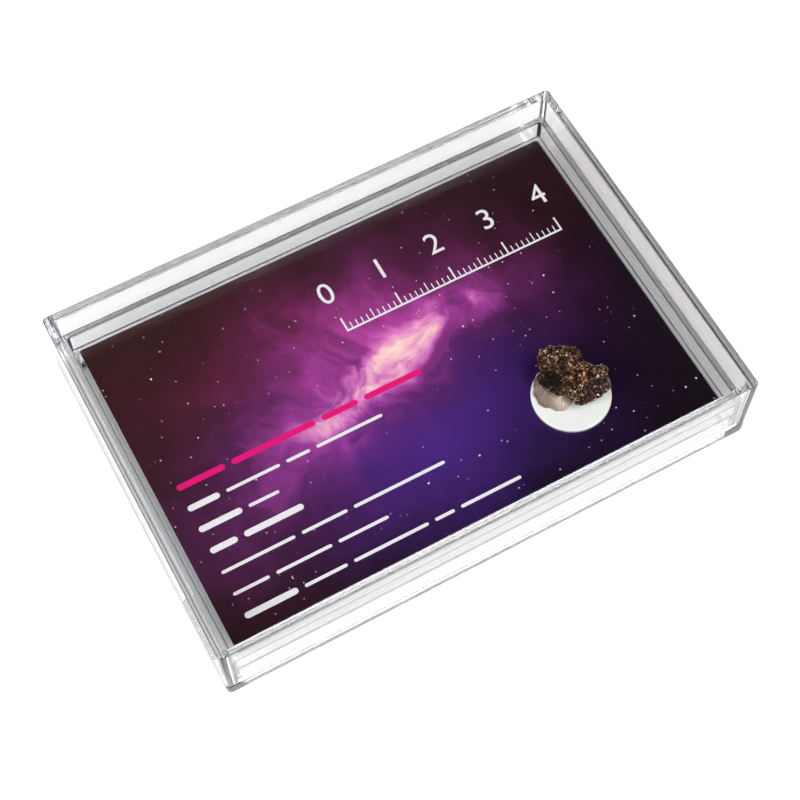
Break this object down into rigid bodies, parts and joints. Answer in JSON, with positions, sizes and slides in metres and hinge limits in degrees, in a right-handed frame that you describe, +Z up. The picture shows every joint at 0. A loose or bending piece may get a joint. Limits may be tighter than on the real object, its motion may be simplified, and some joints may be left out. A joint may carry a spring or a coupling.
{
  "type": "boxed chondrite meteorite specimen",
  "caption": "Small stony meteorite fixed with putty to a round pad on a printed card, inside a clear flat display box with a lift-off lid.",
  "frame": {"origin": "centre of the box's footprint, on the surface that it stands on", "axes": "+X along the box's long side, +Y along its short side, +Z up"},
  "size_m": [0.092, 0.0636, 0.0157],
  "materials": {
    "clear_base": "clear moulded polystyrene, polished",
    "clear_lid": "clear moulded polystyrene, polished",
    "printed_card": "dark glossy print on white card",
    "white_pad": "smooth, slightly glossy",
    "cream_putty": "matt and pressed by hand",
    "stony_chondrite": "rough, granular, weathered brown"
  },
  "bodies": {
    "root": {"box_base": "clear_base", "box_lid": "clear_lid", "info_card": "printed_card", "white_disc": "white_pad", "mounting_putty": "cream_putty", "meteorite": "stony_chondrite"}
  },
  "joints": []
}
